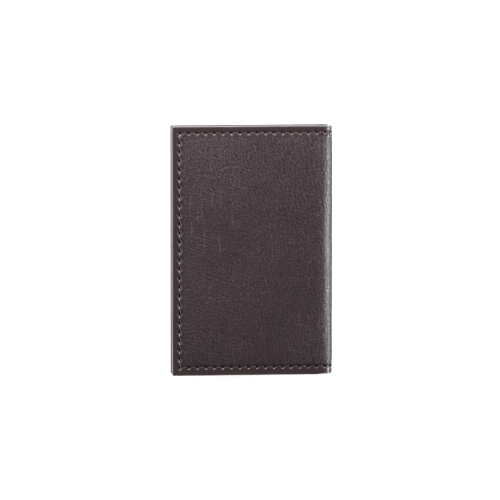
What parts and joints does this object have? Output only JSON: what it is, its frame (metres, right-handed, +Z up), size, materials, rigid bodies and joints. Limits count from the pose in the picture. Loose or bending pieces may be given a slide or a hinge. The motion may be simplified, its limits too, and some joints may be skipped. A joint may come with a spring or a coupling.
{
  "type": "bifold card wallet",
  "caption": "Slim portrait bifold wallet in dark pebbled leather, stitched on three sides, with side-loading card pockets and an ID window inside.",
  "frame": {"origin": "centre of the closed wallet's footprint, on the outer face of the back cover that it rests on", "axes": "+X from the fore edge to the spine, +Y up the height of the wallet along the fold, +Z up through the thickness towards the front cover"},
  "size_m": [0.068, 0.105, 0.0098],
  "materials": {
    "outer_leather": "pebbled, semi-matte",
    "pocket_leather": "fine grained, semi-matte",
    "lining_fabric": "fine twill",
    "board": "matte",
    "thread": "twisted, slight sheen",
    "clear_film": "clear, glossy"
  },
  "bodies": {
    "back_cover": {"back_cover_leather": "outer_leather", "back_stiffener": "board", "back_lining": "lining_fabric", "back_card_pocket": "pocket_leather", "back_window_frame": "pocket_leather", "back_window_film": "clear_film", "back_needle_thread": "thread", "back_bobbin_thread": "thread"},
    "spine_back": {"spine_back_leather": "outer_leather", "spine_back_lining": "lining_fabric", "spine_back_needle_thread": "thread", "spine_back_bobbin_thread": "thread"},
    "spine_middle": {"spine_middle_leather": "outer_leather", "spine_middle_lining": "lining_fabric", "spine_middle_needle_thread": "thread", "spine_middle_bobbin_thread": "thread"},
    "spine_front": {"spine_front_leather": "outer_leather", "spine_front_lining": "lining_fabric", "spine_front_needle_thread": "thread", "spine_front_bobbin_thread": "thread"},
    "front_cover": {"front_cover_leather": "outer_leather", "front_stiffener": "board", "front_lining": "lining_fabric", "front_deep_pocket": "pocket_leather", "front_shallow_pocket": "pocket_leather", "front_needle_thread": "thread", "front_bobbin_thread": "thread"}
  },
  "joints": [
    {"name": "back_fold", "type": "hinge", "parent": "back_cover", "child": "spine_back", "pos_m": [0.03116, 0, 0.00035], "axis": [0, 1, 0], "range_deg": [0, 45]},
    {"name": "spine_back_fold", "type": "hinge", "parent": "spine_back", "child": "spine_middle", "pos_m": [0.03365, 0, 0.00284], "axis": [0, 1, 0], "range_deg": [0, 45]},
    {"name": "spine_front_fold", "type": "hinge", "parent": "spine_middle", "child": "spine_front", "pos_m": [0.03365, 0, 0.00696], "axis": [0, 1, 0], "range_deg": [0, 45]},
    {"name": "front_fold", "type": "hinge", "parent": "spine_front", "child": "front_cover", "pos_m": [0.03116, 0, 0.00945], "axis": [0, 1, 0], "range_deg": [0, 45]}
  ],
  "couplings": [
    {"joint": "spine_back_fold", "follows": "back_fold", "ratio": 1},
    {"joint": "spine_front_fold", "follows": "back_fold", "ratio": 1},
    {"joint": "front_fold", "follows": "back_fold", "ratio": 1}
  ]
}
